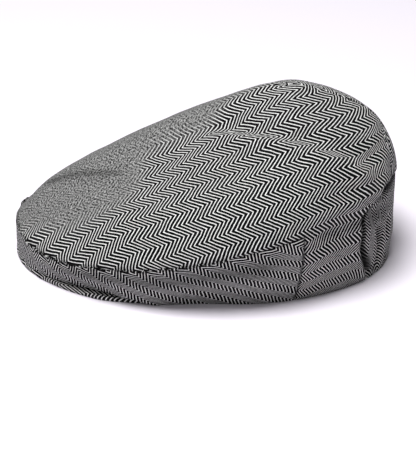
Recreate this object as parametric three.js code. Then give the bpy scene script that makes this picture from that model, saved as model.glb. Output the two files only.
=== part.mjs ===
// Flat cap of herringbone cloth: a one-piece crown, a front band under its bulge, a cloth-covered peak
// and a back gathered by elastic. The front is -Y, the wearer's left is +X, and the cap rests on its
// peak and hem at z = 0. All lengths are in millimetres.
import * as THREE from 'three';

// Outline of the hem, from the tip of the peak to the back, and of the crown's bulge above it
const hemLength = 268;
const hemWidth = 172;
const crownLength = 268;
const crownWidth = 212;
const crownHeight = 125.5;

// The apex is where the centre-back dart ends, this far behind the middle of the cap, and rounded off
const apexBehindMiddle = 53;
const apexRound = 9;

// Cloth with its facing, and the seams between the pieces
const clothWall = 1.8;
const seamGap = 0.3;

// Peak: board covered in cloth. The band stands on it, back from its edge
const peakThickness = 3.6;
const peakDepth = 58;
const peakLedge = 5.5;
const peakEdgeRound = 1.2;
const peakSpanAngle = 66;
const peakTuckAngle = 50;
const peakEndAngle = 74;
const peakArmWidth = 9;

// Side seams, where the band ends and the crown goes down to the hem
const sideSeamAngle = 128;

// Elastic back: width across its gathers, height of the opening arch over it, and its folds
const gussetHemWidth = 104;
const gussetArchWidth = 130;
const gussetStep = 4;
const gatherCount = 7;
const gatherDepth = 1.7;
const casingHeight = 32;

// Depth of the deepest dent in the crown and the back
const dentDepth = 9;

// Level where the back's arch crosses the wall, at its sides and at the centre back
const archSideLevel = 0.86;
const archTopLevel = 0.96;

// Grid of the cloth: steps in degrees round the cap, and rows from hem to arch and from bulge to apex
const stepAngle = 6;
const backStepAngle = 2.5;
const lowerRows = 7;
const upperRows = 10;

// Sections round the cap. turn is in degrees from the front. hem and bulge are shares of the ellipses
// of hemLength by hemWidth and crownLength by crownWidth. height is the bulge's share of crownHeight.
// rise and round shape the profile from bulge to apex: a small rise is a straight slope, and a large
// round a full shoulder.
const sections = [
  { turn: 0, hem: 1, bulge: 0.993, height: 0.187, rise: 0.94, round: 1.38 },
  { turn: 30, hem: 1.062, bulge: 0.981, height: 0.17, rise: 0.94, round: 1.37 },
  { turn: 60, hem: 1.107, bulge: 0.981, height: 0.225, rise: 0.96, round: 1.48 },
  { turn: 90, hem: 1.004, bulge: 1.008, height: 0.311, rise: 1.0, round: 1.5 },
  { turn: 120, hem: 1.026, bulge: 1.014, height: 0.41, rise: 1.13, round: 1.71 },
  { turn: 150, hem: 1.002, bulge: 0.991, height: 0.466, rise: 1.36, round: 2.11 },
  { turn: 180, hem: 0.972, bulge: 0.997, height: 0.458, rise: 1.51, round: 2.28 },
];

// Dents and swells of the cloth. turn and spread are in degrees, level and reach in levels, where the
// hem is 0, the bulge 1 and the apex 2. depth is a share of dentDepth, and swells are negative.
const dents = [
  { place: 'foot of the centre-back seam', turn: 172, level: 1.0, spread: 7, reach: 0.2, depth: 0.72 },
  { place: 'middle of the centre-back seam', turn: 174, level: 1.35, spread: 8, reach: 0.25, depth: 0.3 },
  { place: 'hollow over the elastic, left', turn: 163, level: 0.78, spread: 7, reach: 0.14, depth: 0.6 },
  { place: 'hollow over the elastic, right', turn: -165, level: 0.76, spread: 8, reach: 0.14, depth: 0.5 },
  { place: 'swell of the elastic casing', turn: 180, level: 0.38, spread: 20, reach: 0.16, depth: -0.15 },
  { place: 'long dent of the front slope', turn: 14, level: 1.3, spread: 9, reach: 0.2, depth: 0.3 },
  { place: 'ripple over the left side', turn: 100, level: 1.6, spread: 20, reach: 0.07, depth: 0.16 },
  { place: 'slack over the left side seam', turn: 136, level: 1.05, spread: 11, reach: 0.12, depth: 0.22 },
  { place: 'slack over the right side seam', turn: -132, level: 1.08, spread: 12, reach: 0.14, depth: 0.2 },
];

const degrees = Math.PI / 180;

function smooth(from, to, value) {
  const share = THREE.MathUtils.clamp((value - from) / (to - from), 0, 1);
  return share * share * (3 - 2 * share);
}

// Smooth curve through one column of the sections, mirrored at the front and at the back
function sectionValue(column, turn) {
  const count = sections.length - 1;
  const span = 180 / count;
  const place = Math.min(Math.abs(turn) / span, count - 1e-9);
  const first = Math.floor(place);
  const row = (index) => sections[index < 0 ? -index : index > count ? 2 * count - index : index][column];
  const share = place - first;
  const startSlope = (row(first + 1) - row(first - 1)) / 2;
  const endSlope = (row(first + 2) - row(first)) / 2;
  const rest = 1 - share;
  return row(first) * rest * rest * (1 + 2 * share) + startSlope * share * rest * rest
    + row(first + 1) * share * share * (3 - 2 * share) - endSlope * share * share * rest;
}

function ellipseReach(length, width, turn) {
  const along = Math.cos(turn * degrees) / (length / 2);
  const across = Math.sin(turn * degrees) / (width / 2);
  return 1 / Math.hypot(along, across);
}

const hemReach = (turn) => ellipseReach(hemLength, hemWidth, turn) * sectionValue('hem', turn);
const bulgeReach = (turn) => ellipseReach(crownLength, crownWidth, turn) * sectionValue('bulge', turn);

// How much of the band stands on the peak at this turn: 1 over the peak and 0 behind its corners
const onPeak = (turn) => 1 - smooth(peakSpanAngle - 2, peakSpanAngle + 6, Math.abs(turn));
const ledgeShare = (turn) => 1 - smooth(peakTuckAngle, peakSpanAngle, Math.abs(turn));

// Foot of the cloth: on the peak in front, and on the ground behind its corners
function footPoint(turn) {
  const reach = hemReach(turn) - peakLedge * ledgeShare(turn);
  const lift = (peakThickness + seamGap) * onPeak(turn);
  return new THREE.Vector3(reach * Math.sin(turn * degrees), -reach * Math.cos(turn * degrees), lift);
}

// The seam at the bulge is open by one gap: the band ends under it and the crown starts over it
function bulgePoint(turn, level) {
  const reach = bulgeReach(turn);
  const height = crownHeight * sectionValue('height', turn) + Math.sign(level - 1) * seamGap / 2;
  return new THREE.Vector3(reach * Math.sin(turn * degrees), -reach * Math.cos(turn * degrees), height);
}

// The crown before its dents. Behind the side seams the wall turns upright before it meets the bulge.
function plainPoint(turn, level) {
  const bulge = bulgePoint(turn, level);
  if (level <= 1) {
    const foot = footPoint(turn);
    const straight = foot.clone().lerp(bulge, level);
    const knee = new THREE.Vector3(bulge.x, bulge.y, bulge.z * 0.45);
    const rounded = foot.clone().lerp(knee, level).lerp(knee.clone().lerp(bulge, level), level);
    return straight.lerp(rounded, smooth(sideSeamAngle - 30, sideSeamAngle + 20, Math.abs(turn)));
  }
  const apex = new THREE.Vector3(0, apexBehindMiddle, crownHeight);
  const outward = Math.cos((level - 1) * 90 * degrees);
  const blunt = apexRound / (crownWidth / 2);
  const fall = (Math.hypot(outward, blunt) - blunt) / (Math.hypot(1, blunt) - blunt);
  const climb = (1 - fall ** sectionValue('rise', turn)) ** (1 / sectionValue('round', turn));
  const point = apex.lerp(bulge, outward);
  point.z = bulge.z + (crownHeight - bulge.z) * climb;
  return point;
}

// Edge of the elastic back at this level, in degrees, and the level of its arch at this turn
const turnAtWidth = (width) => 180 - Math.asin(width / hemLength) / degrees;
const gussetEdgeTurn = (level) => THREE.MathUtils.lerp(turnAtWidth(gussetHemWidth),
  turnAtWidth(gussetArchWidth), smooth(0, 0.6, level));
const archLevel = (turn) => THREE.MathUtils.lerp(archSideLevel, archTopLevel,
  smooth(turnAtWidth(gussetArchWidth), 180, Math.abs(turn)));

function turnBetween(a, b) {
  return Math.abs(((a - b + 540) % 360) - 180);
}

// Depth of the cloth below its plain form: the dents, the step under the arch and the gathers
function relief(turn, level) {
  let depth = 0;
  for (const dent of dents) {
    const side = turnBetween(turn, dent.turn) / dent.spread;
    const up = (level - dent.level) / dent.reach;
    depth += dent.depth * dentDepth * Math.exp(-side * side - up * up);
  }
  const inside = smooth(-3, 2, Math.abs(turn) - gussetEdgeTurn(level)) * (1 - smooth(-0.05, 0.06,
    level - archLevel(turn)));
  const casing = (level * crownHeight * sectionValue('height', turn)) / casingHeight;
  const gathered = inside * smooth(0.05, 0.5, casing) * (1 - smooth(0.9, 1.5, casing));
  const across = (180 - Math.abs(turn)) / (180 - gussetEdgeTurn(level));
  const fold = Math.cos(across * gatherCount * Math.PI);
  const step = gussetStep * inside * smooth(0, 0.25, level);
  return depth + step + gathered * gatherDepth * (fold - 0.3);
}

function slopeNormal(surface, turn, level) {
  const sideStep = 0.4;
  const upStep = 0.01;
  const top = Math.min(level, 2 - upStep * 2);
  const along = surface(turn + sideStep, top).sub(surface(turn - sideStep, top));
  const up = surface(turn, top + upStep).sub(surface(turn, Math.max(top - upStep, 0)));
  return along.cross(up).normalize();
}

// Outer face of the cloth. The hem stays on its line, and the dents fade out at the apex.
function clothPoint(turn, level) {
  const point = plainPoint(turn, level);
  const inward = slopeNormal(plainPoint, turn, level).negate();
  if (level < 1) inward.setZ(0).normalize();
  const fade = smooth(0, 0.12, level) * (1 - smooth(1.8, 2, level));
  return point.addScaledVector(inward, relief(turn, level) * fade);
}

// Inner face, one wall in. The hem's inner edge keeps the height of its outer one.
function liningPoint(turn, level) {
  const point = clothPoint(turn, level);
  const inward = slopeNormal(clothPoint, turn, level).negate();
  if (level >= 2) inward.set(0, 0, -1);
  if (level < 0.02) inward.setZ(0).normalize();
  return point.addScaledVector(inward, clothWall);
}

// Columns of the grid, in degrees from the front. A side seam or an edge of the gusset lies between
// two columns that are one gap apart.
const archTurn = turnAtWidth(gussetArchWidth);
const halfGapTurn = seamGap / crownWidth / degrees;

function evenSteps(from, to, step) {
  const count = Math.ceil((to - from) / step);
  return Array.from({ length: count + 1 }, (_, index) => from + ((to - from) * index) / count);
}

function columnTurns() {
  const left = [
    ...evenSteps(0, sideSeamAngle - halfGapTurn, stepAngle),
    ...evenSteps(sideSeamAngle + halfGapTurn, archTurn - halfGapTurn, stepAngle),
    ...evenSteps(archTurn + halfGapTurn, 180, backStepAngle),
  ];
  const right = left.slice(1, -1).map((turn) => 360 - turn).reverse();
  return [...left, ...right];
}

// Rows of the grid. The arch and the bulge lie between two rows that are one gap apart.
const halfGapLevel = seamGap / crownHeight;
const seamEdge = 1e-4;
const rowLevels = [
  ...evenSteps(0, archSideLevel - halfGapLevel, archSideLevel / lowerRows),
  archSideLevel + halfGapLevel,
  1 - seamEdge,
  ...evenSteps(1 + seamEdge, 2, 1 / upperRows),
];
const turns = columnTurns();
const archGapRow = rowLevels.indexOf(archSideLevel + halfGapLevel) - 1;
const bulgeGapRow = rowLevels.indexOf(1 - seamEdge);
const apexRow = rowLevels.length - 1;

const fromFront = (turn) => (turn > 180 ? 360 - turn : turn);

// Place of a grid point. Near the back the columns lean with the edges of the gusset, and the rows
// under the bulge rise with its arch.
function gridPlace(column, row) {
  const turn = turns[column];
  const size = fromFront(turn);
  const onGusset = (180 - size) / (180 - archTurn);
  const leaning = size < archTurn ? smooth(sideSeamAngle, archTurn, size) : onGusset;
  const level = rowLevels[row];
  const share = Math.min(level / archSideLevel, (1 - level) / (1 - archTopLevel));
  const rise = (archLevel(size) - archSideLevel) * Math.max(share, 0);
  const lean = level < 1 ? (gussetEdgeTurn(level) - archTurn) * leaning : 0;
  const signed = (size + lean) * (turn > 180 ? -1 : 1);
  return [signed, level < 1 ? level + rise * smooth(sideSeamAngle, archTurn, size) : level];
}

// The piece that holds a cell of the grid, or none where the cell is a seam
function pieceAt(column, row) {
  const next = column + 1 < turns.length ? turns[column + 1] : 360;
  const size = fromFront((turns[column] + next) / 2);
  const front = row < bulgeGapRow ? 'front_band' : null;
  const back = row < archGapRow ? 'back_gusset' : null;
  if (size < sideSeamAngle - halfGapTurn && row <= bulgeGapRow) return front;
  if (size < sideSeamAngle + halfGapTurn && row <= bulgeGapRow) return null;
  if (size > archTurn + halfGapTurn && row <= archGapRow) return back;
  if (size > archTurn - halfGapTurn && row <= archGapRow) return null;
  return 'top_panel';
}

// Closed shell over the grid cells of one piece: outer face, inner face and the cut edges
function clothShell(piece) {
  const positions = [];
  const faces = [];
  const slots = new Map();
  const wrap = (column) => (column + turns.length) % turns.length;
  const vertex = (column, row, surface) => {
    const place = row === apexRow ? 0 : wrap(column);
    const key = `${place} ${row} ${surface.name}`;
    if (!slots.has(key)) {
      slots.set(key, positions.length / 3);
      positions.push(...surface(...gridPlace(place, row)));
    }
    return slots.get(key);
  };
  const triangle = (a, b, c) => {
    if (a !== b && b !== c && c !== a) faces.push(a, b, c);
  };
  const quad = (a, b, c, d) => {
    triangle(a, b, c);
    triangle(a, c, d);
  };
  const owned = (column, row) => row >= 0 && pieceAt(wrap(column), row) === piece;
  for (let column = 0; column < turns.length; column += 1) {
    for (let row = 0; row < apexRow; row += 1) {
      if (!owned(column, row)) continue;
      const corners = [[column, row], [column + 1, row], [column + 1, row + 1], [column, row + 1]];
      const outer = corners.map(([c, r]) => vertex(c, r, clothPoint));
      const inner = corners.map(([c, r]) => vertex(c, r, liningPoint));
      quad(...outer);
      quad(inner[3], inner[2], inner[1], inner[0]);
      const neighbours = [[column, row - 1], [column + 1, row], [column, row + 1], [column - 1, row]];
      neighbours.forEach(([c, r], side) => {
        const next = (side + 1) % 4;
        if (r < apexRow && !owned(c, r)) quad(inner[side], inner[next], outer[next], outer[side]);
      });
    }
  }
  const geometry = new THREE.BufferGeometry();
  geometry.setAttribute('position', new THREE.Float32BufferAttribute(positions, 3));
  geometry.setIndex(faces);
  geometry.computeVertexNormals();
  return geometry;
}

// Peak: a flat crescent with a rounded edge. Its outer edge follows the hem and tucks inside the cloth
// behind the band's ledge. Its inner edge is the front of the opening for the head.
function peakGeometry() {
  const tuck = clothWall + 2 * seamGap;
  const outerEdge = evenSteps(-peakEndAngle, peakEndAngle, stepAngle / 2).map((turn) => {
    const reach = hemReach(turn) - tuck * smooth(peakTuckAngle, peakSpanAngle - 3, Math.abs(turn));
    return new THREE.Vector2(reach * Math.sin(turn * degrees), -reach * Math.cos(turn * degrees));
  });
  const end = outerEdge[outerEdge.length - 1];
  const halfOpening = end.x - peakArmWidth;
  const openingRise = hemLength / 2 - peakDepth + end.y;
  const innerEdge = new THREE.EllipseCurve(0, end.y, halfOpening, openingRise, 0, -Math.PI, true);
  const outline = new THREE.Shape([...outerEdge, ...innerEdge.getPoints(30)]);
  const geometry = new THREE.ExtrudeGeometry(outline, {
    depth: peakThickness - 2 * peakEdgeRound,
    bevelThickness: peakEdgeRound,
    bevelSize: peakEdgeRound,
    bevelOffset: -peakEdgeRound,
    bevelSegments: 2,
  });
  return geometry.translate(0, 0, peakEdgeRound);
}

// Cloth of each piece: the crown is lit from above, and the band and the back are a little darker
const cloths = {
  top_panel: new THREE.MeshStandardMaterial({ color: 0x72726f, roughness: 0.92, metalness: 0 }),
  front_band: new THREE.MeshStandardMaterial({ color: 0x5f5d61, roughness: 0.92, metalness: 0 }),
  back_gusset: new THREE.MeshStandardMaterial({ color: 0x615f62, roughness: 0.92, metalness: 0 }),
  peak: new THREE.MeshStandardMaterial({ color: 0x6b6a69, roughness: 0.92, metalness: 0 }),
};

function piece(name, geometry) {
  const mesh = new THREE.Mesh(geometry, cloths[name]);
  mesh.name = name;
  return mesh;
}

const cap = new THREE.Group();
cap.add(
  piece('top_panel', clothShell('top_panel')),
  piece('front_band', clothShell('front_band')),
  piece('back_gusset', clothShell('back_gusset')),
  piece('peak', peakGeometry()),
);

// The origin is the middle of the cap's footprint, on the ground
const extent = new THREE.Box3().setFromObject(cap);
const middle = extent.getCenter(new THREE.Vector3());
cap.position.set(-middle.x, -middle.y, -extent.min.z);

export default cap;
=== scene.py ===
import math

import bmesh
import bpy
import numpy as np
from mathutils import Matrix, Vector


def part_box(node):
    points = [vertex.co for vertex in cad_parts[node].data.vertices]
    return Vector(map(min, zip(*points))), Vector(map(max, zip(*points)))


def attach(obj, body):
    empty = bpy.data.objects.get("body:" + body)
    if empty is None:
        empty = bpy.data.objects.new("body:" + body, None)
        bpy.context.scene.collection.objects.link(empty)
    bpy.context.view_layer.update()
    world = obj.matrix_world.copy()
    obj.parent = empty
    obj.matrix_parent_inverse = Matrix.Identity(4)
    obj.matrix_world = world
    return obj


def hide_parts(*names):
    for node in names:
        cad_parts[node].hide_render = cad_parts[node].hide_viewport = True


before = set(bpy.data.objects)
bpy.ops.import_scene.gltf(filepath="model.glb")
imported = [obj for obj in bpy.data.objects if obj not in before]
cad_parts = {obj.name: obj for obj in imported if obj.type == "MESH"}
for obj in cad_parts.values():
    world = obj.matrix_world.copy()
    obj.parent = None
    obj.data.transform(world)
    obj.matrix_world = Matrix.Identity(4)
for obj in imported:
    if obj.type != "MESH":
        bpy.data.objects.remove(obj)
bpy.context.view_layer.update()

MM = 0.001

# Sizes of the cap in millimetres. The front is -Y, the wearer's left is +X, and it rests on z = 0.
HEM_LENGTH, HEM_WIDTH = 268, 172
CROWN_LENGTH, CROWN_WIDTH, CROWN_HEIGHT = 268, 212, 125.5
APEX_BEHIND_MIDDLE, APEX_ROUND = 53, 9
CLOTH_WALL, SEAM_GAP = 1.6, 0.3

# A place on the cap is a turn, in degrees from the front towards the wearer's left, and a level, where
# the hem is 0, the bulge 1 and the apex 2.

# Peak, in millimetres and in degrees from the front
PEAK_THICKNESS, PEAK_DEPTH, PEAK_LEDGE = 3.6, 58, 5.5
PEAK_SPAN, PEAK_TUCK, PEAK_END, PEAK_ARM = 66, 50, 74, 9
PEAK_END_INSET, PEAK_END_INSET_TURNS = 2.4, (PEAK_TUCK, PEAK_SPAN - 3)
PEAK_ROUND, PEAK_ROUND_STEPS, PEAK_SHARP_ANGLE = 1.3, 4, 0.7
PEAK_COLUMNS, PEAK_ROWS = 181, 25
OFF_PEAK_TURNS = (PEAK_SPAN - 2, PEAK_SPAN + 6)

# Side seams, centre-back seam and the elastic back
SIDE_SEAM, SIDE_SEAM_LEAN = 128, 1.8
BACK_SEAM, BACK_SEAM_LEAN, BACK_SEAM_LEAN_LEVELS = 174.5, 12, (1.15, 1.5)
GUSSET_HEM_WIDTH, GUSSET_ARCH_WIDTH, GUSSET_TUCK = 100, 125, 8
GUSSET_WIDENS_UP_TO = 0.6
ARCH_SIDE_LEVEL, ARCH_TOP_LEVEL, ARCH_SHOULDER, ARCH_SQUARENESS = 0.84, 1.05, 13, 0.6
CASING_TOP, CASING_FADE = 0.62, 0.13

# The wall behind the side seams is rounded: its knee, as a share of the bulge's height, and the turns
# that it becomes rounded between
KNEE_HEIGHT = 0.45
ROUNDED_TURNS = (SIDE_SEAM - 30, SIDE_SEAM + 20)

# Way that the relief is raised: sideways on the wall, along the surface's own normal on the crown, and
# straight up at the apex. It changes from one to the next between these levels.
WALL_TO_CROWN_LEVELS, APEX_LEVELS, LEVEL_STEP = (0.85, 1.1), (1.97, 2.0), 0.02
TINY = 1e-12

# Grid of points over the cloth: steps in degrees and levels, rows of the crown and how they crowd
# towards the bulge, and how far round the leaning seams pull the columns along
SIDE_STEP, BEHIND_SEAM_STEP, BACK_STEP = 1.1, 1.0, 0.5
WALL_STEP, ARCH_STEP = 0.026, 0.04
CROWN_ROWS, CROWN_CROWDING = 62, 1.25
ARCH_PULL_TOP, BACK_SEAM_PULL, SIDE_SEAM_PULL = 1.5, 24, 16

# Points along the gusset's side and along half of its arch that distances to its edge are taken from
SIDE_EDGE_POINTS, ARCH_EDGE_POINTS = 60, 90

# Herringbone in millimetres: one thread across and along the columns, and threads in a column
THREAD_ACROSS, THREAD_ALONG, COLUMN_THREADS = 0.715, 0.8125, 11
COLUMN_WIDTH = THREAD_ACROSS * COLUMN_THREADS

# Turn of the cloth in the band and in the peak, in degrees. The band holds more cloth from seam to hem
# than its wall is deep, so many times as much, which sets in between two shares of the way down. The
# gathered gusset holds more cloth than it shows in both directions.
BAND_GRAIN, BAND_SLACK, BAND_SLACK_SHARES = 69, 1.55, (0.05, 0.4)
PEAK_GRAIN = 11
GUSSET_SLACK = 1.4

# Sections round the cap, as shares of the sizes above, one each 30 degrees from the front to the back.
# grain is the turn, in degrees, that the flat cloth of the crown lies at, seen from the apex.
SECTIONS = {
    "hem": [1.0, 1.062, 1.107, 1.004, 1.026, 1.002, 0.972],
    "bulge": [0.993, 0.981, 0.981, 1.008, 1.014, 0.991, 0.997],
    "height": [0.187, 0.17, 0.225, 0.311, 0.41, 0.466, 0.458],
    "rise": [0.94, 0.94, 0.96, 1.0, 1.13, 1.36, 1.51],
    "round": [1.38, 1.37, 1.48, 1.5, 1.71, 2.11, 2.28],
    "grain": [0, 12.5, 28.5, 48, 72, 103, 130],
}
SECTION_TURN = 30

# Dents of the cloth: turn, level, how far each of the two reaches, and depth in millimetres
PITS = [
    ("pit over the left corner of the gusset", 164.3, 1.03, 2.4, 0.045, 6.0),
    ("pit over the right corner of the gusset", -166, 1.05, 3, 0.05, 4.0),
]
DENTS = [
    ("foot of the centre-back seam", 173, 1.1, 5, 0.09, 3.0),
    *PITS,
    ("fuller middle of the back", 183, 1.44, 18, 0.16, -2.4),
    ("flatter back of the apex", 187, 1.76, 24, 0.1, 1.2),
    ("narrower elastic casing", 180, 0.27, 20, 0.14, 0.5),
    ("long dent of the front slope", 14, 1.3, 9, 0.2, 2.7),
    ("ripple over the left side", 100, 1.6, 20, 0.07, 1.4),
    ("slack over the left side seam", 136, 1.05, 11, 0.12, 2.0),
    ("slack over the right side seam", -132, 1.08, 12, 0.14, 1.8),
]
DENT_LEVELS = (0.12, 1.8)

# Hollows of the gusset over its elastic, with the same columns as the dents
HOLLOWS = [
    ("left of the centre", 163, 0.83, 8, 0.09, 3.6),
    ("right of the centre", -166, 0.82, 9, 0.1, 3.2),
]

# Long soft folds of the crown: ends on the flat cloth in millimetres, across then along the columns,
# then half width and height. The cloth below the line swells out and the cloth above it sinks.
FOLDS = [
    ("from the left side of the back up over the crown", 16, -62, 94, 42, 8, 3.2),
    ("broad slope beside it", 10, -74, 98, 48, 19, 1.3),
    ("under the top of the front slope", 3, -180, 25, -128, 5, -1.0),
    ("small one by the back seam", 100, 10, 118, 46, 4, 1.0),
    ("right side of the back, up over the crown", -48, -20, -92, 40, 7, 1.4),
]
FOLD_LEVELS, FOLD_END, FOLD_GAIN = (0.98, 1.05), 16, 2.2

# Folds that the elastic gathers the gusset into: turn of the valley, its width in degrees and its depth
GATHERS = [
    (163, 1.4, 5.5), (170.5, 1.6, 4.5), (180.5, 1.8, 5.5), (190, 1.6, 4.5), (199.5, 1.7, 5.5),
]
GATHER_TOP, GATHER_SWAY, GATHER_SWAY_RATE = 1.5, 0.9, 6
CASING_PINCH, CASING_PINCH_FROM, GATHER_HEM_LEVEL = 1.6, 0.3, 0.14

# Unevenness of the whole cap: seed, spacing and amount in millimetres. It dies out by the hem and apex.
SLACK_WAVES = [(5, 46, 0.7), (6, 19, 0.18)]
WAVE_COUNT, WAVE_SPACINGS, WAVE_START, WAVE_GAIN = 7, (0.7, 1.5), 7, 1.6
SLACK_LEVELS = (0.15, 1.9)

# Fullness of the band in millimetres: its belly on the sides, its belly at the front, and its foot over
# the peak, each with the turns that it starts and ends between
BELLY, BELLY_LEVEL, BELLY_REACH = 2.6, 0.6, 0.26
FRONT_BELLY, FRONT_TURNS, SIDE_END_TURNS = 0.6, (14, 34), (110, 124)
FOOT_SWELL, FOOT_TURNS = 4.8, (20, 50)

# Edge of the crown at the front: its roll, the roll's reach below and above it, and the hollow behind
BRIM_ROLL, BRIM_BELOW, BRIM_ABOVE, BRIM_TURNS = 1.2, 0.13, 0.03, (15, 32)
BRIM_HOLLOW, BRIM_HOLLOW_LEVEL, BRIM_HOLLOW_REACH = 1.5, 1.15, 0.1

# Roll of the crown over the wall behind the side seams, and the hollow under it
SIDE_ROLL, SIDE_ROLL_LEVEL, SIDE_ROLL_REACH = 2.1, 1.09, 0.06
SIDE_HOLLOW, SIDE_HOLLOW_LEVEL, SIDE_HOLLOW_REACH = 3.2, 0.92, 0.09
SIDE_ROLL_START, SIDE_ROLL_END = (SIDE_SEAM, SIDE_SEAM + 8), (158, 168)

# Seams: depth and half width of each groove in millimetres, and the small gathers beside it as seed,
# amount, spacing and reach. Shorter gathers among them have a share of the spacing.
SHORT_GATHERS, GATHERS_WANDER = 0.62, 1.9
BULGE_SEAM_TURNS, BULGE_GROOVE, BULGE_GATHERS = (SIDE_SEAM - 3, SIDE_SEAM + 2), (0.5, 1.1), (1, 0.12, 10, 6)
BULGE_RIDGE, BULGE_RIDGE_AWAY, BULGE_RIDGE_REACH = 0.3, 4, 2.5
SIDE_SEAM_LEVELS, SIDE_GROOVE, SIDE_GATHERS = (0.95, 1.05), (0.8, 1.3), (2, 0.25, 8, 5)
BACK_SEAM_START, BACK_SEAM_END = (ARCH_TOP_LEVEL - 0.02, ARCH_TOP_LEVEL + 0.03), (1.85, 2)
BACK_GROOVE, BACK_GATHERS = (0.9, 1.4), (3, 0.12, 9, 6)
CAP_RADIUS = 110

# Crown's edge over the gusset: its roll, the roll's middle and reach, how far the edge itself turns in,
# and where it does so. In the middle of the arch the edge lies flat.
PANEL_ROLL, PANEL_ROLL_AWAY, PANEL_ROLL_REACH = 1.3, 4.5, 4
PANEL_TURN_IN, PANEL_TURN_IN_WITHIN = 1.6, (-0.3, 1.8)
FLAT_EDGE_TURNS, FLAT_EDGE_LEVELS = (168, 178), (0.9, 1.0)
EDGE_HEM_LEVEL = 0.1
GUSSET_SET_BACK, TUCK_WITHIN = 1.2, (0.6, 5.0)

# Drift of the crown's columns in millimetres, and how far across the front the nap is brushed up. Both
# go by the place along the columns, and the drift also by the place across them.
DRIFT_ALONG = [-170, -140, -110, -80, -50, -20, 10, 40]
DRIFT_ACROSS = [20, 65, 110, 155]
DRIFT = [
    [8, 8.2, 8.2, 8.2],
    [5, 7.8, 5.5, 3],
    [1, 1.8, -0.6, -3],
    [-4, -0.9, -3.5, -6.5],
    [-4.4, -2.9, -5, -8],
    [-0.3, -2.9, -2.9, -7.5],
    [0.1, 1.1, 1.7, -1.5],
    [0, 2, 5, 4],
]
DRIFT_STARTS_WITHIN = 26
NAP_ALONG = [-207, -192, -180, -164, -136, -125, -113, -106, -80, -63, -45, -25]
NAP_ACROSS = [19, 26, 37, 42, 46, 43, 35, 17, 13, 16, 4, -14]
NAP_EDGE = (-10, 8)

# Nap of the right side, which fades out towards the back and down the side
RIGHT_NAP_ALONG, RIGHT_NAP_ACROSS, RIGHT_NAP_GAIN = (-92, 14), (45, 104), 1.15

# Shade deep in the creases, from 0 to 1. A seam has its shade and half width in millimetres.
SIDE_SEAM_SHADE, BULGE_SEAM_SHADE, BACK_SEAM_SHADE = (0.5, 1.0), (0.35, 0.9), (0.45, 1.2)
BAND_SHADE, BAND_SHADE_LEVEL, BAND_SHADE_REACH = 0.4, 0.7, 0.17
BAND_SHADE_START, BAND_SHADE_END = (25, 50), (112, 124)
SHADE_HEM_LEVELS = (0.05, 0.2)
PANEL_SHADE_FROM, PANEL_SHADE_LOW, PANEL_SHADE_HIGH, PANEL_HIGH_LEVEL = 1.2, 3.2, 4.4, 0.8
PIT_SHADE = 0.85
FRONT_CREASE, FRONT_CREASE_SHADE = ((-9, -196), (24, -117)), (0.5, 2.6)
TUCK_SHADE, TUCK_SHADE_WITHIN = 0.97, (2.6, 7.6)
VALLEY_SHADE, VALLEY_DEPTH, VALLEY_LEVELS = 0.62, 4, (CASING_TOP - 0.1, CASING_TOP + 0.1)
HOLLOW_SHADE, DEEPEST_SHADE = 0.08, 0.95

# Panels on the grid: how far the gusset reaches under the crown, in degrees and in levels
UNDER_PANEL_TURN, UNDER_PANEL_LEVEL = 2.6, 0.08
MERGE_WITHIN, HEM_TOP = 0.00002, 0.001
HEM_FACING = 1.8

# Threads: threads in one repeat of the twill, share of the smooth line in the drawn one, and what part
# of the line is white yarn
TWILL_REPEAT, TWILL_START, SMOOTH_SHARE, WHITE_FROM = 4, 0.125, 0.7, (0.69, 0.77)
COLUMN_SWAY, COLUMN_SWAY_SCALE = 1.6, 0.12
UNEVEN, UNEVEN_SCALE = 0.22, 0.9
SPECKLE_SCALE, SPECKLE_DETAIL, SPECKLE_RANGE, SPECKLE_WHITE = 0.8, 4.0, (0.42, 0.58), (0.02, 0.42)
NAP_COVER = 0.82
YARN_STRETCH, SLUB_SCALE, SLUB_RANGE = 0.25, 1.3, (0.3, 0.75)
STRAY_SCALE, STRAY_RANGE = 1.7, (0.35, 0.8)
FUZZ_SCALE, FUZZ_DETAIL, FUZZ_RANGE = 4.5, 3.0, (0.5, 0.8)
PATCH_SCALE, PATCH_RANGE, PATCH_FUZZ = 0.035, (0.3, 0.7), (0.0, 0.08)
ROUGHNESS_RANGE, SPECULAR, SHEEN, SHEEN_ROUGHNESS = (0.78, 0.92), 0.05, 0.01, 0.5
THREAD_RISE, FUZZ_RISE, BUMP_DEPTH, BUMP_STRENGTH = 0.5, 0.4, 0.3, 0.8

# Colours of the yarns, the fuzz and the painted shade of the deepest creases
WHITE_YARN = (0.58, 0.58, 0.57, 1), (0.84, 0.84, 0.83, 1)
BLACK_YARN = (0.0014, 0.0014, 0.0016, 1), (0.008, 0.0077, 0.0085, 1)
FUZZ_GREY, PAINTED_SHADE_BLACK = (0.22, 0.22, 0.215, 1), (0.004, 0.004, 0.004, 1)
FLOOR_PALE, FLOOR_ROUGHNESS, FLOOR_HALF_SIZE = (0.83, 0.79, 0.86, 1), 0.9, 4

# Camera: degrees from the front and above the floor, distance in metres, lens and sensor in millimetres
# of the camera, and aim in millimetres
CAMERA_TURN, CAMERA_RISE, CAMERA_DISTANCE = 93.14, 26.92, 1.4
CAMERA_LENS, CAMERA_SENSOR = 157.5, 36
AIM_RIGHT, AIM_UP = 2.07, 15.3

# Lights: name, place in metres, size in metres and power in watts, all aimed a little above the floor
LIGHTS = [
    ("overhead light", (0.35, -0.3, 1.9), 1.1, 54),
    ("side light", (1.8, 0.2, 1.3), 1.2, 4),
]
LIGHT_AIM, SURROUND_LIGHT = (0, 0, 0.05), 0.16


def smooth(start, end, value):
    """0 before start and 1 after end, with a soft rise between."""
    share = np.clip((value - start) / (end - start), 0, 1)
    return share * share * (3 - 2 * share)


def fade(start, end, value):
    """1 before start and 0 after end."""
    return 1 - smooth(start, end, value)


def bell(value, width):
    return np.exp(-(value / width) ** 2)


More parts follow.
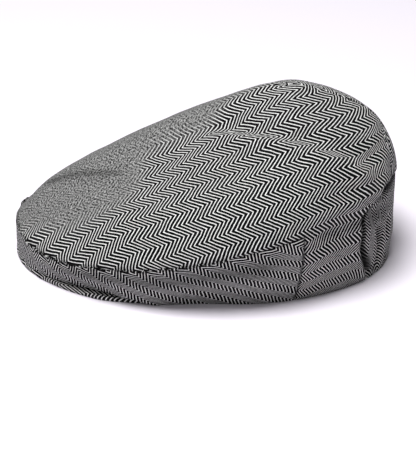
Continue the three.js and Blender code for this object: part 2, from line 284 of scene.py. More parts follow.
def turn_apart(turn, at_turn):
    """Degrees from one turn to another, the short way round."""
    return ((turn - at_turn + 180) % 360) - 180


def section(column, turn):
    """Smooth curve through one column of the sections, mirrored at the front and at the back."""
    rows = np.array(SECTIONS[column], float)
    last = len(rows) - 1
    front, back = rows[1], rows[last - 1]
    if column == "grain":
        front, back = -rows[1], 2 * rows[last] - rows[last - 1]
    place = np.abs(turn) / SECTION_TURN
    beyond = np.maximum(place - last, 0)
    place = np.where(beyond > 0, last - beyond, place)
    first = np.minimum(np.floor(place), last - 1).astype(int)
    share = place - first
    table = np.concatenate([[front], rows, [back]])
    before, low, high, after = (table[first + step] for step in range(4))
    rest = 1 - share
    value = (low * rest * rest * (1 + 2 * share) + (high - before) / 2 * share * rest * rest
             + high * share * share * (3 - 2 * share) - (after - low) / 2 * share * share * rest)
    return np.where(beyond > 0, 2 * rows[last] - value, value) if column == "grain" else value


def ellipse(length, width, turn):
    angle = np.radians(turn)
    return 1 / np.hypot(np.cos(angle) / (length / 2), np.sin(angle) / (width / 2))


def hem_reach(turn):
    return ellipse(HEM_LENGTH, HEM_WIDTH, turn) * section("hem", turn)


def around(turn, reach, height):
    angle = np.radians(turn)
    return np.stack([reach * np.sin(angle), -reach * np.cos(angle), height + 0 * reach], -1)


def from_front(turn):
    """Degrees from the front, on either side."""
    return np.minimum(np.abs(turn), 360 - np.abs(turn))


def plain_surface(turn, level):
    """The crown and its wall before dents, as the solids have them."""
    size = from_front(turn)
    on_peak = fade(*OFF_PEAK_TURNS, size)
    ledge = PEAK_LEDGE * fade(PEAK_TUCK, PEAK_SPAN, size)
    foot = around(turn, hem_reach(turn) - ledge, (PEAK_THICKNESS + SEAM_GAP) * on_peak)
    reach = ellipse(CROWN_LENGTH, CROWN_WIDTH, turn) * section("bulge", turn)
    height = CROWN_HEIGHT * section("height", turn)
    bulge = around(turn, reach, height)
    knee = around(turn, reach, height * KNEE_HEIGHT)
    share = np.clip(level, 0, 1)[..., None]
    straight = foot + (bulge - foot) * share
    low = foot + (knee - foot) * share
    rounded = low + (knee + (bulge - knee) * share - low) * share
    wall = straight + (rounded - straight) * smooth(*ROUNDED_TURNS, size)[..., None]
    outward = np.cos(np.clip(level - 1, 0, 1) * math.pi / 2)
    blunt = APEX_ROUND / (CROWN_WIDTH / 2)
    fall = (np.hypot(outward, blunt) - blunt) / (math.hypot(1, blunt) - blunt)
    climb = (1 - np.clip(fall, 0, 1) ** section("rise", turn)) ** (1 / section("round", turn))
    apex = np.array([0, APEX_BEHIND_MIDDLE, 0])
    crown = apex + (bulge - apex) * outward[..., None]
    crown[..., 2] = height + (CROWN_HEIGHT - height) * climb
    return np.where((level <= 1)[..., None], wall, crown)


def outward_normal(turn, level):
    """Direction that the relief is raised in: outward and level on the wall, straight up at the apex."""
    along = plain_surface(turn + 1, level) - plain_surface(turn - 1, level)
    up = (plain_surface(turn, np.minimum(level + LEVEL_STEP, 2))
          - plain_surface(turn, np.maximum(level - LEVEL_STEP, 0)))
    normal = np.cross(along, up)
    normal[..., 2] *= smooth(*WALL_TO_CROWN_LEVELS, level)
    normal /= np.linalg.norm(normal, axis=-1, keepdims=True) + TINY
    top = smooth(*APEX_LEVELS, level)[..., None]
    return normal * (1 - top) + np.array([0, 0, 1]) * top


def turn_at_width(width):
    return 180 - math.degrees(math.asin(width / HEM_LENGTH))


ARCH_TURN = turn_at_width(GUSSET_ARCH_WIDTH)


def gusset_edge(level):
    """Turn of the gusset's side edge, which leans out from the hem to the arch."""
    hem_turn = turn_at_width(GUSSET_HEM_WIDTH)
    return hem_turn + (ARCH_TURN - hem_turn) * smooth(0, GUSSET_WIDENS_UP_TO, level)


def arch_level(turn):
    shoulder = np.clip((from_front(turn) - ARCH_TURN) / ARCH_SHOULDER, 0, 1)
    rise = np.sin(shoulder * math.pi / 2) ** ARCH_SQUARENESS
    return ARCH_SIDE_LEVEL + (ARCH_TOP_LEVEL - ARCH_SIDE_LEVEL) * rise


def side_seam_lean(level):
    return SIDE_SEAM_LEAN * (1 - np.clip(level, 0, 1))


def back_seam_lean(level):
    return BACK_SEAM_LEAN * smooth(*BACK_SEAM_LEAN_LEVELS, level)


def steps(start, end, step):
    count = math.ceil((end - start) / step)
    return [start + (end - start) * index / count for index in range(count + 1)]


def cloth_grid():
    """Turns and levels of the grid's points. The grid is cut along the centre-back seam. Columns lie on
    the side seams and on the edges of the gusset, and rows on its arch and on the bulge."""
    side = steps(0, SIDE_SEAM, SIDE_STEP) + steps(SIDE_SEAM, ARCH_TURN, BEHIND_SEAM_STEP)[1:]
    half = side + steps(ARCH_TURN, BACK_SEAM, BACK_STEP)[1:]
    last = steps(BACK_SEAM, 180, BACK_STEP)[1:]
    far = half + last + [360 - turn for turn in last[-2::-1]] + [360 - BACK_SEAM]
    turns = np.array([-turn for turn in far[:0:-1]] + half)
    wall = steps(0, ARCH_SIDE_LEVEL, WALL_STEP) + steps(ARCH_SIDE_LEVEL, 1, ARCH_STEP)[1:]
    crown = [1 + share ** CROWN_CROWDING for share in steps(0, 1, 1 / CROWN_ROWS)[1:]]
    levels = np.array(wall + crown)
    turn, level = np.meshgrid(turns, levels, indexing="ij")
    size = from_front(turn)
    share = np.where(size < ARCH_TURN, smooth(SIDE_SEAM, ARCH_TURN, size),
                     (180 - size) / (180 - ARCH_TURN))
    lean = np.where(level < 1, (gusset_edge(level) - ARCH_TURN) * share, 0)
    lean = np.where(np.abs(turn) > 180, -lean, lean)
    climb = np.minimum(level / ARCH_SIDE_LEVEL,
                       (ARCH_PULL_TOP - level) / (ARCH_PULL_TOP - ARCH_SIDE_LEVEL))
    rise = (arch_level(size) - ARCH_SIDE_LEVEL) * np.clip(climb, 0, 1)
    seam_lean = back_seam_lean(level) * bell(turn_apart(turn, BACK_SEAM), BACK_SEAM_PULL)
    side_lean = side_seam_lean(level) * bell(size - SIDE_SEAM, SIDE_SEAM_PULL)
    return turn, level, turn + np.sign(turn) * (lean + side_lean) + seam_lean, level + rise


grid_turn, grid_level, turn, level = cloth_grid()
size = from_front(turn)
plain = plain_surface(turn, level)
normal = outward_normal(turn, level)
girth = np.hypot(plain[..., 0], plain[..., 1])
rungs = np.linalg.norm(np.diff(plain, axis=1), axis=-1)
climbed = np.concatenate([np.zeros((len(turn), 1)), np.cumsum(rungs, axis=1)], axis=1)
bulge_row = int(np.argmin(np.abs(grid_level[0] - 1)))

# Distances in millimetres along the cloth from each seam
from_bulge = climbed - climbed[:, bulge_row:bulge_row + 1]
from_side_seam = np.radians(size - SIDE_SEAM - side_seam_lean(level)) * girth
from_back_seam = np.radians(np.abs(turn_apart(turn, BACK_SEAM + back_seam_lean(level)))) * girth


def distance_from_gusset():
    """Distance from the gusset's edge, positive on the crown and negative on the gusset."""
    side_levels = np.linspace(0, ARCH_SIDE_LEVEL, SIDE_EDGE_POINTS)
    arch_turns = ARCH_TURN + (180 - ARCH_TURN) * np.linspace(0, 1, ARCH_EDGE_POINTS) ** 2
    edge_turns = np.concatenate([gusset_edge(side_levels), arch_turns])
    edge_levels = np.concatenate([side_levels, arch_level(arch_turns)])
    nearest = np.full(turn.shape, np.inf)
    for side in (1, -1):
        for point in plain_surface(edge_turns * side, edge_levels):
            nearest = np.minimum(nearest, np.linalg.norm(plain - point, axis=-1))
    inside = (size > gusset_edge(level)) & (level < arch_level(turn))
    return np.where(inside, -nearest, nearest)


from_gusset = distance_from_gusset()


def waves(seed, spacing, amount):
    """Soft unevenness of the cloth: a few waves about spacing apart, each in its own direction."""
    dice = np.random.default_rng(seed)
    total = np.zeros(plain.shape[:-1])
    for _ in range(WAVE_COUNT):
        way = dice.normal(size=3)
        way /= np.linalg.norm(way)
        pace = 2 * math.pi / (spacing * dice.uniform(*WAVE_SPACINGS))
        total += np.sin(plain @ way * pace + dice.uniform(0, WAVE_START))
    return total / WAVE_COUNT * amount * WAVE_GAIN


def dents(table):
    total = np.zeros(turn.shape)
    for _, at_turn, at_level, spread, reach, depth in table:
        total += depth * bell(turn_apart(turn, at_turn), spread) * bell(level - at_level, reach)
    low, high = DENT_LEVELS
    return total * smooth(0, low, level) * fade(high, 2, level)


def pucker(distance, along, seed, amount, spacing, reach):
    """Small gathers across a seam, deepest beside it, of two spacings so that they don't repeat."""
    wander = 2 * np.sin(along / (spacing * GATHERS_WANDER) + seed)
    long_waves = np.sin(along * 2 * math.pi / spacing + wander)
    short_waves = 0.5 * np.sin(along * 2 * math.pi / (spacing * SHORT_GATHERS) + seed * 3)
    return bell(distance, reach) * amount * (long_waves + short_waves)


# Flat cloth of the crown in millimetres: across and along the columns of the herringbone
turned = np.radians(np.sign(turn) * section("grain", turn))
to_apex = climbed[:, -1:] - climbed
across, along = to_apex * np.sin(turned), -to_apex * np.cos(turned)


def beside_line(start, end):
    """Distance to the side of a line on the flat cloth, and 1 along it with a soft fall at its ends."""
    run = np.array(end, float) - np.array(start, float)
    length = np.hypot(*run)
    run /= length
    apart = np.stack([across, along], -1) - np.array(start, float)
    ahead = apart @ run
    aside = apart @ np.array([run[1], -run[0]])
    return aside, smooth(0, FOLD_END, ahead) * fade(length - FOLD_END, length, ahead)


def long_folds():
    total = np.zeros(turn.shape)
    for _, start_across, start_along, end_across, end_along, width, height in FOLDS:
        aside, ends = beside_line((start_across, start_along), (end_across, end_along))
        aside = aside * np.sign(end_across)
        total += height * ends * (aside / width) * bell(aside, width) * FOLD_GAIN
    return total * smooth(*FOLD_LEVELS, level)


def band_fullness():
    on_sides = smooth(*FRONT_TURNS, size) * fade(*SIDE_END_TURNS, size)
    total = BELLY * bell(level - BELLY_LEVEL, BELLY_REACH) * on_sides
    total += FRONT_BELLY * np.sin(np.pi * np.clip(level, 0, 1)) * fade(*FRONT_TURNS, size)
    return total + FOOT_SWELL * fade(*FOOT_TURNS, size) * np.clip(1 - level, 0, 1)


def brim():
    """Roll of the crown's edge over the band at the front, and the hollow behind it."""
    roll = BRIM_ROLL * bell(level - 1, np.where(level < 1, BRIM_BELOW, BRIM_ABOVE))
    hollow = BRIM_HOLLOW * bell(level - BRIM_HOLLOW_LEVEL, BRIM_HOLLOW_REACH)
    return (roll - hollow) * fade(*BRIM_TURNS, size)


def side_slack():
    """Roll of the crown behind the side seams, and the hollow under it."""
    roll = SIDE_ROLL * bell(level - SIDE_ROLL_LEVEL, SIDE_ROLL_REACH)
    hollow = SIDE_HOLLOW * bell(level - SIDE_HOLLOW_LEVEL, SIDE_HOLLOW_REACH)
    return (roll - hollow) * smooth(*SIDE_ROLL_START, size) * fade(*SIDE_ROLL_END, size)


def groove(distance, depth, width):
    return depth * bell(distance, width)


on_bulge_seam = fade(*BULGE_SEAM_TURNS, size)
on_side_seam = fade(*SIDE_SEAM_LEVELS, level)
on_back_seam = smooth(*BACK_SEAM_START, level) * fade(*BACK_SEAM_END, level)


def seams():
    """Grooves of the stitched seams, with the small gathers beside them."""
    ridge = BULGE_RIDGE * bell(np.abs(from_bulge) - BULGE_RIDGE_AWAY, BULGE_RIDGE_REACH)
    gathered = pucker(from_bulge, np.radians(turn) * CAP_RADIUS, *BULGE_GATHERS)
    total = on_bulge_seam * (ridge - groove(from_bulge, *BULGE_GROOVE) + gathered)
    gathered = pucker(from_side_seam, climbed, *SIDE_GATHERS)
    total += on_side_seam * (gathered - groove(from_side_seam, *SIDE_GROOVE))
    gathered = pucker(from_back_seam, climbed, *BACK_GATHERS)
    return total + on_back_seam * (gathered - groove(from_back_seam, *BACK_GROOVE))


# How far each point lies outside the plain surface, in millimetres
slack = sum(waves(*wave) for wave in SLACK_WAVES)
slack = slack * smooth(0, SLACK_LEVELS[0], level) * fade(SLACK_LEVELS[1], 2, level)
relief = slack + long_folds() + band_fullness() + brim() + side_slack() + seams() - dents(DENTS)
above_edge = smooth(0, EDGE_HEM_LEVEL, level)
lip = 1 - smooth(*FLAT_EDGE_TURNS, size) * smooth(*FLAT_EDGE_LEVELS, level)
edge_roll = PANEL_ROLL * bell(from_gusset - PANEL_ROLL_AWAY, PANEL_ROLL_REACH)
edge_turn_in = PANEL_TURN_IN * fade(*PANEL_TURN_IN_WITHIN, from_gusset)
crown_relief = relief + (edge_roll - edge_turn_in) * above_edge * lip


def gathers():
    """Rolls of the gusset: narrow valleys between rounded tops, within the casing of the elastic."""
    where = np.where(turn < 0, turn + 360, turn)
    total = GATHER_TOP * np.ones(turn.shape)
    for at_turn, width, depth in GATHERS:
        sway = GATHER_SWAY * np.sin(level * GATHER_SWAY_RATE + at_turn)
        total -= depth * bell(where - at_turn - sway, width)
    total -= CASING_PINCH * smooth(CASING_PINCH_FROM, CASING_TOP, level)
    return total * smooth(0, GATHER_HEM_LEVEL, level) * fade(CASING_TOP, CASING_TOP + CASING_FADE, level)


tuck = fade(*TUCK_WITHIN, -from_gusset)
set_back = GUSSET_SET_BACK + (GUSSET_TUCK - GUSSET_SET_BACK) * tuck * lip
gusset_relief = relief - dents(HOLLOWS) + gathers() * (1 - tuck) - set_back * above_edge


def table_value(rows, row_places, column_places, at_row, at_column):
    """Smoothed value of a short table at each point."""
    rows = np.array(rows, float)
    row = np.interp(at_row, row_places, np.arange(len(row_places)))
    column = np.interp(at_column, column_places, np.arange(len(column_places)))
    low_row = np.minimum(row.astype(int), len(row_places) - 2)
    low_column = np.minimum(column.astype(int), len(column_places) - 2)
    row_share, column_share = smooth(0, 1, row - low_row), smooth(0, 1, column - low_column)
    near, far = (rows[at, low_column] * (1 - column_share) + rows[at, low_column + 1] * column_share
                 for at in (low_row, low_row + 1))
    return near * (1 - row_share) + far * row_share


def crown_cloth():
    """Place of each point on the crown's herringbone, with the columns' drift."""
    away = np.abs(across)
    drift = table_value(DRIFT, DRIFT_ALONG, DRIFT_ACROSS, along, away)
    away = away + drift * smooth(0, DRIFT_STARTS_WITHIN, away) + COLUMN_WIDTH / 2
    return np.stack([np.sign(across) * away, along], -1)


def brushed_nap():
    """How far the crown's cloth is brushed up, from 0 to 1: its front, and more of the right side."""
    front_nap = fade(*NAP_EDGE, np.abs(across) - np.interp(along, NAP_ALONG, NAP_ACROSS))
    right_nap = fade(*RIGHT_NAP_ALONG, along) * fade(*RIGHT_NAP_ACROSS, -across) * RIGHT_NAP_GAIN
    return np.where(across < 0, np.maximum(front_nap, np.minimum(right_nap, 1)), front_nap)


def distance(one, other):
    return float(np.linalg.norm(one - other))


def flat_place(near, far, to_near, to_far):
    """Point of the flat strip at its distances from two others, on the left of the way between them."""
    way = far - near
    length = np.hypot(*way)
    way = way / length
    ahead = (to_near ** 2 - to_far ** 2 + length ** 2) / (2 * length)
    aside = math.sqrt(max(to_near ** 2 - ahead ** 2, 0))
    return near + way * ahead + aside * np.array([-way[1], way[0]])


def flat_strip(foot, top):
    """The wall of one side laid flat, from the front: its foot and its top edge in millimetres."""
    flat_top = [np.zeros(2)]
    flat_foot = [np.array([0, -distance(top[0], foot[0])])]
    for index in range(len(foot) - 1):
        flat_foot.append(flat_place(flat_top[-1], flat_foot[-1], distance(top[index], foot[index + 1]),
                                    distance(foot[index], foot[index + 1])))
        flat_top.append(flat_place(flat_top[-1], flat_foot[-1], distance(top[index], top[index + 1]),
                                   distance(foot[index + 1], top[index + 1])))
    return np.array(flat_foot), np.array(flat_top)


def band_cloth():
    """Place of each point on the flat cloth of the band, which is cut across the herringbone."""
    front = int(np.argmin(np.abs(turn[:, 0])))
    foot, top = plain[:, 0], plain[:, bulge_row]
    left_foot, left_top = flat_strip(foot[front:], top[front:])
    flip, flip_flat = np.array([-1, 1, 1]), np.array([-1, 1])
    right_foot, right_top = flat_strip(foot[front::-1] * flip, top[front::-1] * flip)
    flat_foot = np.concatenate([right_foot[:0:-1] * flip_flat, left_foot])[:, None]
    flat_top = np.concatenate([right_top[:0:-1] * flip_flat, left_top])[:, None]
    down = 1 - (climbed / climbed[:, bulge_row:bulge_row + 1])[..., None]
    down = down * (1 + (BAND_SLACK - 1) * smooth(*BAND_SLACK_SHARES, down))
    flat = flat_top + (flat_foot - flat_top) * down
    grain = math.radians(BAND_GRAIN)
    across_band = flat[..., 0] * math.sin(grain) + flat[..., 1] * math.cos(grain)
    along_band = flat[..., 0] * math.cos(grain) - flat[..., 1] * math.sin(grain)
    return np.stack([across_band, along_band], -1)


def gusset_cloth():
    """Place of each point on the gusset's cloth, whose herringbone the elastic draws together."""
    around_back = np.radians(((turn + 360) % 360) - 180) * girth
    return np.stack([around_back * GUSSET_SLACK, climbed * GUSSET_SLACK], -1)


# Shade deep in the creases and the seams
shade_above_hem = smooth(*SHADE_HEM_LEVELS, level)
seam_shade = (groove(from_side_seam, *SIDE_SEAM_SHADE) * on_side_seam
              + groove(from_bulge, *BULGE_SEAM_SHADE) * on_bulge_seam)


# Painted shade on the band, under the crown's edge and along its seams
def band_shade():
    on_sides = smooth(*BAND_SHADE_START, size) * fade(*BAND_SHADE_END, size)
    return seam_shade + BAND_SHADE * bell(level - BAND_SHADE_LEVEL, BAND_SHADE_REACH) * on_sides


def crown_shade():
    """Shade along the panel's edge over the gusset, in the pits, the front crease and the seams."""
    reach = np.where(level > PANEL_HIGH_LEVEL, PANEL_SHADE_HIGH, PANEL_SHADE_LOW)
    total = fade(PANEL_SHADE_FROM, reach, np.abs(from_gusset)) * shade_above_hem * lip
    for _, at_turn, at_level, spread, reach, _ in PITS:
        total += PIT_SHADE * bell(turn_apart(turn, at_turn), spread) * bell(level - at_level, reach)
    aside, ends = beside_line(*FRONT_CREASE)
    total += groove(aside, *FRONT_CREASE_SHADE) * ends
    total += seam_shade + groove(from_back_seam, *BACK_SEAM_SHADE) * on_back_seam
    return np.clip(total, 0, DEEPEST_SHADE)


def gusset_shade():
    """Shade in the tuck under the panel's edge, in the valleys of the gathers and in the hollows."""
    total = TUCK_SHADE * fade(*TUCK_SHADE_WITHIN, -from_gusset) * shade_above_hem
    valleys = np.clip(-gathers() / VALLEY_DEPTH, 0, 1) * fade(*VALLEY_LEVELS, level)
    return np.clip(total + VALLEY_SHADE * valleys + HOLLOW_SHADE * dents(HOLLOWS), 0, DEEPEST_SHADE)


def sew(name, kept, shift, cloth, nap, shade, replaced):
    """One panel of the grid as a cloth shell: kept says which faces stay, shift is how far each point
    lies outside the plain surface, and cloth is the place on the flat herringbone."""
    columns, rows = turn.shape
    place = (plain + normal * shift[..., None]) * MM
    place[..., 1] += middle * MM
    facing = np.cross(np.gradient(place, axis=0), np.gradient(place, axis=1))
    facing /= np.linalg.norm(facing, axis=-1, keepdims=True) + TINY
    wall_below = CLOTH_WALL * MM * np.clip(facing[..., 2] * HEM_FACING, 0, 1)
    place[..., 2] = np.maximum(place[..., 2], wall_below)
    mesh = bmesh.new()
    bmesh.ops.create_grid(mesh, x_segments=columns - 1, y_segments=rows - 1, size=0.5)
    flat = mesh.loops.layers.uv.new("Cloth")
    mesh.verts.layers.float.new("Nap")
    mesh.verts.layers.float.new("Shade")
    brushed, shaded = mesh.verts.layers.float["Nap"], mesh.verts.layers.float["Shade"]
    where = {}
    for vert in mesh.verts:
        column = round((vert.co.x + 0.5) * (columns - 1))
        row = round((vert.co.y + 0.5) * (rows - 1))
        where[vert] = (column, row)
        vert.co = Vector(place[column, row])
        vert[brushed] = nap[column, row]
        vert[shaded] = shade[column, row]
    lost = []
    for face in mesh.faces:
        corner = min(where[vert] for vert in face.verts)
        if kept[corner]:
            for loop in face.loops:
                loop[flat].uv = cloth[where[loop.vert]]
        else:
            lost.append(face)
        face.smooth = True
    bmesh.ops.delete(mesh, geom=lost, context="FACES")
    bmesh.ops.remove_doubles(mesh, verts=mesh.verts, dist=MERGE_WITHIN)
    draw_back(mesh)
    bmesh.ops.recalc_face_normals(mesh, faces=mesh.faces)
    piece = finish_piece(name, mesh, replaced)
    wall = piece.modifiers.new("cloth wall", "SOLIDIFY")
    wall.thickness = CLOTH_WALL * MM
    wall.offset = -1


def draw_back(mesh):
    """Moves a panel's sewn edges a little way back from its neighbours, and leaves the hem alone."""
    moves = {}
    for edge in mesh.edges:
        if edge.is_boundary:
            face = edge.link_faces[0]
            for vert in edge.verts:
                if vert.co.z > HEM_TOP:
                    way = (face.calc_center_median() - vert.co).normalized()
                    moves[vert] = moves.get(vert, Vector()) + way
    for vert, way in moves.items():
        vert.co += way.normalized() * (SEAM_GAP / 2) * MM


def finish_piece(name, mesh, replaced):
    data = bpy.data.meshes.new(name)
    mesh.to_mesh(data)
    mesh.free()
    piece = bpy.data.objects.new(name, data)
    bpy.context.collection.objects.link(piece)
    data.materials.append(herringbone)
    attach(piece, "root")
    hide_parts(replaced)
    return piece


def herringbone_cloth():
    """Woven twill that turns back on itself in columns: black yarn along them, white yarn across them."""
    material = bpy.data.materials.new("herringbone cloth")
    material.use_nodes = True
    nodes, links = material.node_tree.nodes, material.node_tree.links
    shader = nodes["Principled BSDF"]

    def put(socket, value):
        if isinstance(value, bpy.types.NodeSocket):
            links.new(value, socket)
        else:
            socket.default_value = value

    def calc(operation, *values):
        node = nodes.new("ShaderNodeMath")
        node.operation = operation
        for socket, value in zip(node.inputs, values):
            put(socket, value)
        return node.outputs[0]

    def spread(value, low, high, start=0.0, end=1.0):
        node = nodes.new("ShaderNodeMapRange")
        node.interpolation_type = "SMOOTHSTEP"
        for socket, number in zip(node.inputs, (value, low, high, start, end)):
            put(socket, number)
        return node.outputs[0]

    def blend(share, low, high):
        node = nodes.new("ShaderNodeMix")
        node.data_type = "RGBA"
        put(node.inputs[0], share)
        put(node.inputs[6], low)
        put(node.inputs[7], high)
        return node.outputs[2]

    def noise(x, y, scale, detail=2.0):
        joined = nodes.new("ShaderNodeCombineXYZ")
        put(joined.inputs[0], x)
        put(joined.inputs[1], y)
        node = nodes.new("ShaderNodeTexNoise")
        links.new(joined.outputs[0], node.inputs["Vector"])
        node.inputs["Scale"].default_value = scale
        node.inputs["Detail"].default_value = detail
        return node.outputs["Fac"]

    def painted(name):
        node = nodes.new("ShaderNodeAttribute")
        node.attribute_name = name
        return node.outputs["Fac"]

    def share_of(share, one, other):
        """One value by a share, and the other by the rest of it."""
        return calc("ADD", calc("MULTIPLY", one, share), calc("MULTIPLY", other, calc("SUBTRACT", 1, share)))

    def thread_middle(threads):
        return calc("ADD", calc("FLOOR", threads), 0.5)

    def twill(across_threads, along_threads):
        """Line of the twill, from 0 to 1 and back, which turns round at each column's edge."""
        zigzag = calc("PINGPONG", across_threads, COLUMN_THREADS)
        repeat = calc("DIVIDE", calc("ADD", along_threads, zigzag), TWILL_REPEAT)
        return calc("MULTIPLY", calc("PINGPONG", calc("ADD", repeat, TWILL_START), 0.5), 2)

    def round_thread(threads):
        away = calc("SUBTRACT", calc("MULTIPLY", calc("FRACT", threads), 2), 1)
        return calc("SUBTRACT", 1, calc("POWER", calc("ABSOLUTE", away), 2))

    flat = nodes.new("ShaderNodeUVMap")
    flat.uv_map = "Cloth"
    split = nodes.new("ShaderNodeSeparateXYZ")
    links.new(flat.outputs[0], split.inputs[0])
    across, along = split.outputs[0], split.outputs[1]
    sway = calc("SUBTRACT", noise(across, along, COLUMN_SWAY_SCALE), 0.5)
    warp = calc("DIVIDE", across, THREAD_ACROSS)
    weft = calc("DIVIDE", calc("ADD", along, calc("MULTIPLY", sway, COLUMN_SWAY)), THREAD_ALONG)

    # Twill lines, partly smooth and partly stepped from thread to thread, brushed over where the nap is
    smooth_line = calc("MULTIPLY", twill(warp, weft), SMOOTH_SHARE)
    stepped_line = calc("MULTIPLY", twill(thread_middle(warp), thread_middle(weft)), 1 - SMOOTH_SHARE)
    line = calc("ADD", smooth_line, stepped_line)
    uneven = calc("MULTIPLY", calc("SUBTRACT", noise(warp, weft, UNEVEN_SCALE), 0.5), UNEVEN)
    woven = spread(calc("ADD", line, uneven), *WHITE_FROM)
    speckle = spread(noise(across, along, SPECKLE_SCALE, SPECKLE_DETAIL), *SPECKLE_RANGE, *SPECKLE_WHITE)
    white = share_of(calc("MULTIPLY", painted("Nap"), NAP_COVER), speckle, woven)

    # Yarn of each colour with its slubs and stray fibres, a thin fuzz over both, and painted shade darkening
    # the creases
    slubs = noise(calc("MULTIPLY", warp, YARN_STRETCH), calc("FLOOR", weft), SLUB_SCALE)
    strays = noise(calc("FLOOR", warp), calc("MULTIPLY", weft, YARN_STRETCH), STRAY_SCALE)
    fuzz = noise(across, along, FUZZ_SCALE, FUZZ_DETAIL)
    patches = noise(across, along, PATCH_SCALE)
    light = blend(spread(slubs, *SLUB_RANGE), *WHITE_YARN)
    dark = blend(spread(strays, *STRAY_RANGE), *BLACK_YARN)
    yarn = blend(white, dark, light)
    fuzz_cover = calc("MULTIPLY", spread(fuzz, *FUZZ_RANGE), spread(patches, *PATCH_RANGE, *PATCH_FUZZ))
    cloth = blend(fuzz_cover, yarn, FUZZ_GREY)
    # The Shade attribute paints shade into the base colour, blending it towards black in the creases, seams,
    # tuck and under the crown's edge
    put(shader.inputs["Base Color"], blend(painted("Shade"), cloth, PAINTED_SHADE_BLACK))
    put(shader.inputs["Roughness"], spread(white, 0, 1, *ROUGHNESS_RANGE))
    shader.inputs["Specular IOR Level"].default_value = SPECULAR
    shader.inputs["Sheen Weight"].default_value = SHEEN
    shader.inputs["Sheen Roughness"].default_value = SHEEN_ROUGHNESS

    # Each thread is round, and dips where it goes under the other
    on_top = share_of(white, round_thread(weft), round_thread(warp))
    float_rise = calc("ABSOLUTE", calc("SUBTRACT", line, 0.5))
    threads = calc("ADD", calc("MULTIPLY", on_top, THREAD_RISE), float_rise)
    bump = nodes.new("ShaderNodeBump")
    bump.inputs["Distance"].default_value = BUMP_DEPTH * MM
    bump.inputs["Strength"].default_value = BUMP_STRENGTH
    links.new(calc("ADD", threads, calc("MULTIPLY", fuzz, FUZZ_RISE)), bump.inputs["Height"])
    links.new(bump.outputs[0], shader.inputs["Normal"])
    return material


def peak_cover():
    """Crescent of the peak, between the hem's curve and the line that it is sewn in along."""
    turns = np.linspace(-PEAK_END, PEAK_END, PEAK_COLUMNS)
    outer = hem_reach(turns) - PEAK_END_INSET * smooth(*PEAK_END_INSET_TURNS, np.abs(turns))
    rim = around(turns, outer, 0)[:, :2]
    arm, tip_along, front_along = rim[-1][0] - PEAK_ARM, rim[-1][1], rim[PEAK_COLUMNS // 2][1]
    bend = np.radians(turns) * (90 / PEAK_END)
    sewn_depth = tip_along - front_along - PEAK_DEPTH
    inner = np.stack([arm * np.sin(bend), tip_along - sewn_depth * np.cos(bend)], -1)
    mesh = bmesh.new()
    bmesh.ops.create_grid(mesh, x_segments=PEAK_COLUMNS - 1, y_segments=PEAK_ROWS - 1, size=0.5)
    flat = mesh.loops.layers.uv.new("Cloth")
    for vert in mesh.verts:
        column = round((vert.co.x + 0.5) * (PEAK_COLUMNS - 1))
        spot = inner[column] + (rim[column] - inner[column]) * (vert.co.y + 0.5)
        vert.co = Vector((spot[0], spot[1] + middle, 0)) * MM
    bmesh.ops.recalc_face_normals(mesh, faces=mesh.faces)
    if mesh.faces[:][0].normal.z > 0:
        bmesh.ops.reverse_faces(mesh, faces=mesh.faces)
    lifted = bmesh.ops.extrude_face_region(mesh, geom=mesh.faces[:])["geom"]
    risen = [part for part in lifted if isinstance(part, bmesh.types.BMVert)]
    bmesh.ops.translate(mesh, verts=risen, vec=(0, 0, PEAK_THICKNESS * MM))
    bmesh.ops.recalc_face_normals(mesh, faces=mesh.faces)
    rims = [edge for edge in mesh.edges
            if len(edge.link_faces) == 2 and edge.calc_face_angle() > PEAK_SHARP_ANGLE]
    bmesh.ops.bevel(mesh, geom=rims, offset=PEAK_ROUND * MM, offset_type="OFFSET",
                    segments=PEAK_ROUND_STEPS, profile=0.5, affect="EDGES", material=-1)
    mesh.verts.layers.float.new("Nap")
    mesh.verts.layers.float.new("Shade")
    grain = math.radians(PEAK_GRAIN)
    for face in mesh.faces:
        face.smooth = True
        for loop in face.loops:
            away = Vector((loop.vert.co.x, loop.vert.co.y, 0)).normalized()
            drop = 1 - loop.vert.co.z / (PEAK_THICKNESS * MM)
            spot = loop.vert.co / MM + away * PEAK_THICKNESS * drop
            loop[flat].uv = (spot.x * math.cos(grain) - spot.y * math.sin(grain),
                             spot.x * math.sin(grain) + spot.y * math.cos(grain))
    finish_piece("peak_cover", mesh, "peak")


def lay_floor():
    floor = bmesh.new()
    bmesh.ops.create_grid(floor, x_segments=1, y_segments=1, size=FLOOR_HALF_SIZE)
    data = bpy.data.meshes.new("floor")
    floor.to_mesh(data)
    floor.free()
    ground = bpy.data.objects.new("floor", data)
    bpy.context.collection.objects.link(ground)
    paint = bpy.data.materials.new("pale floor")
    paint.use_nodes = True
    shader = paint.node_tree.nodes["Principled BSDF"]
    shader.inputs["Base Color"].default_value = FLOOR_PALE
    shader.inputs["Roughness"].default_value = FLOOR_ROUGHNESS
    data.materials.append(paint)


def set_lights():
    """Soft round lights, and a faint white light from all round."""
    world = bpy.context.scene.world or bpy.data.worlds.new("studio")
    bpy.context.scene.world = world
    world.use_nodes = True
    background = world.node_tree.nodes["Background"]
    background.inputs["Color"].default_value = (1, 1, 1, 1)
    background.inputs["Strength"].default_value = SURROUND_LIGHT
    for name, place, size, power in LIGHTS:
        lamp = bpy.data.lights.new(name, "AREA")
        lamp.shape = "DISK"
        lamp.size = size
        lamp.energy = power
        holder = bpy.data.objects.new(name, lamp)
        holder.location = place
        holder.rotation_euler = (Vector(LIGHT_AIM) - Vector(place)).to_track_quat("-Z", "Y").to_euler()
        bpy.context.collection.objects.link(holder)


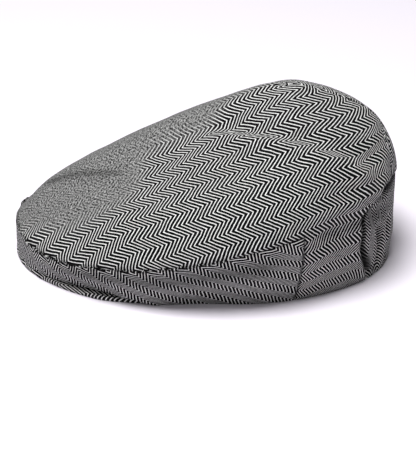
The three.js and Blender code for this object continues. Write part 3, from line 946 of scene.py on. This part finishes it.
def set_camera():
    turned, raised = math.radians(CAMERA_TURN), math.radians(CAMERA_RISE)
    back = Vector((math.sin(turned) * math.cos(raised), -math.cos(turned) * math.cos(raised),
                   math.sin(raised)))
    right = Vector((math.cos(turned), math.sin(turned), 0))
    up = Vector((-math.sin(turned) * math.sin(raised), math.cos(turned) * math.sin(raised),
                 math.cos(raised)))
    centre = Vector((0, middle * MM, 0))
    stand = centre + back * CAMERA_DISTANCE
    aim = centre + right * AIM_RIGHT * MM + up * AIM_UP * MM
    lens = bpy.data.cameras.new("camera")
    lens.lens = CAMERA_LENS
    lens.sensor_width = CAMERA_SENSOR
    eye = bpy.data.objects.new("camera", lens)
    eye.location = stand
    eye.rotation_euler = (aim - stand).to_track_quat("-Z", "Y").to_euler()
    bpy.context.collection.objects.link(eye)
    bpy.context.scene.camera = eye
    bpy.context.scene.view_settings.view_transform = "Standard"


# The tables above have the cap's middle at 0, and the solids have their own place in the frame
peak_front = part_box("peak")[0][1]
middle = peak_front / MM + HEM_LENGTH / 2 * SECTIONS["hem"][0]

# Faces of the grid that belong to each panel
face_size = from_front((grid_turn[:-1] + grid_turn[1:]) / 2)[:, :-1]
face_level = ((grid_level[:, :-1] + grid_level[:, 1:]) / 2)[:-1]
in_gusset = (face_size > ARCH_TURN) & (face_level < ARCH_SIDE_LEVEL)
in_band = (face_size < SIDE_SEAM) & (face_level < 1)
under_panel = (face_size > ARCH_TURN - UNDER_PANEL_TURN) & (face_level < ARCH_SIDE_LEVEL + UNDER_PANEL_LEVEL)
unbrushed = np.zeros(turn.shape)

herringbone = herringbone_cloth()
sew("top_panel_cloth", ~in_gusset & ~in_band, crown_relief, crown_cloth(), brushed_nap(), crown_shade(),
    "top_panel")
sew("front_band_cloth", in_band, relief, band_cloth(), unbrushed, band_shade(), "front_band")
sew("back_gusset_cloth", under_panel, gusset_relief, gusset_cloth(), unbrushed, gusset_shade(),
    "back_gusset")
peak_cover()
lay_floor()
set_lights()
set_camera()
